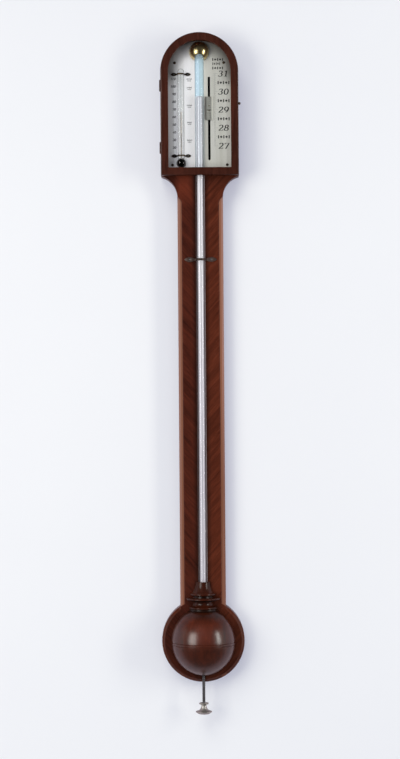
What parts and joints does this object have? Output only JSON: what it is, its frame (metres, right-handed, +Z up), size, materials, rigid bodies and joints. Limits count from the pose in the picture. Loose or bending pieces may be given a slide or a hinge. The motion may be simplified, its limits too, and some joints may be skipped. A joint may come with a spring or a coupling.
{
  "type": "stick barometer",
  "caption": "Wall-hung mercury stick barometer: arched glazed head with scale plates, vernier and thermometer, bare tube on a veneered trunk, turned cistern cover and portable screw.",
  "frame": {"origin": "centre of the hanging plate's hole, on the plane of the wall", "axes": "+X to the viewer's right, +Y into the wall, +Z up"},
  "size_m": [0.116, 0.073, 0.9541],
  "materials": {
    "case_wood": "french polished mahogany",
    "veneer_left": "french polished chevron veneer, grain falling to the right",
    "veneer_right": "french polished chevron veneer, grain falling to the left",
    "rim_wood": "french polished mahogany",
    "door_wood": "french polished mahogany, cross grained",
    "bead_wood": "polished mahogany bead",
    "cover_wood": "dark turned mahogany, polished",
    "boxwood": "turned boxwood, waxed",
    "door_glass": "clear flat glass",
    "tube_glass": "clear drawn glass",
    "silvered_left": "silvered, matt",
    "silvered_right": "silvered, matt, a little tarnished",
    "cursor_metal": "silvered, worn",
    "brass": "lacquered brass",
    "ball_brass": "polished brass",
    "hinge_brass": "aged brass",
    "fastener_brass": "aged brass",
    "knob_brass": "dull brass",
    "pull_metal": "darkened brass",
    "clip_metal": "darkened brass",
    "screw_steel": "grey steel",
    "small_steel": "blued steel, worn",
    "mercury": "liquid mirror",
    "bulb_mercury": "liquid mirror behind thick glass",
    "leather": "thin kid leather",
    "gland_leather": "bound leather packing"
  },
  "bodies": {
    "case": {"backboard": "case_wood", "trunk_veneer_left": "veneer_left", "trunk_veneer_right": "veneer_right", "head_rim": "rim_wood", "cistern_cover": "cover_wood", "cistern_pot": "boxwood", "cistern_cap": "boxwood", "cistern_base_ring": "boxwood", "barometer_tube": "tube_glass", "thermometer_tube": "tube_glass", "thermometer_plate": "silvered_left", "register_plate": "silvered_right", "nut_plate": "brass", "hanging_plate": "brass", "tube_cap": "ball_brass", "upper_hinge_case_leaf": "hinge_brass", "lower_hinge_case_leaf": "hinge_brass", "upper_hinge_pin": "fastener_brass", "lower_hinge_pin": "fastener_brass", "hinge_case_screws": "fastener_brass", "nut_plate_screws": "fastener_brass", "cover_screws": "fastener_brass", "hanging_screws": "fastener_brass", "upper_thermometer_clip": "clip_metal", "lower_thermometer_clip": "clip_metal", "trunk_tube_clip": "clip_metal", "plate_screws": "small_steel", "thermometer_clip_pins": "small_steel", "trunk_clip_pins": "small_steel", "mercury_column": "mercury", "cistern_mercury": "mercury", "thermometer_mercury": "bulb_mercury", "leather_bag": "leather", "tube_gland": "gland_leather"},
    "door": {"door_frame": "door_wood", "door_glass": "door_glass", "glazing_bead": "bead_wood", "upper_hinge_door_leaf": "hinge_brass", "lower_hinge_door_leaf": "hinge_brass", "hinge_door_screws": "fastener_brass", "door_pull": "pull_metal"},
    "vernier": {"vernier_cursor": "cursor_metal", "vernier_keeper": "brass", "vernier_rivets": "fastener_brass"},
    "pad": {"pressure_pad": "boxwood"},
    "screw": {"portable_screw": "screw_steel", "screw_knob": "knob_brass"}
  },
  "joints": [
    {"name": "door_swing", "type": "hinge", "parent": "case", "child": "door", "pos_m": [-0.0547, -0.03495, -0.0884], "axis": [0, 0, -1], "range_deg": [0, 170]},
    {"name": "vernier_slide", "type": "slide", "parent": "case", "child": "vernier", "axis": [0, 0, 1], "range_m": [-0.064, 0.036]},
    {"name": "pad_lift", "type": "slide", "parent": "case", "child": "pad", "axis": [0, 0, 1], "range_m": [0, 0.01], "deforming": ["leather_bag", "cistern_mercury"]},
    {"name": "screw_turn", "type": "hinge", "parent": "pad", "child": "screw", "pos_m": [0, -0.028, -0.8954], "axis": [0, 0, 1], "range_deg": [0, 2880]}
  ],
  "couplings": [
    {"joint": "pad_lift", "follows": "screw_turn", "m_per_rad": 0.00019894}
  ]
}
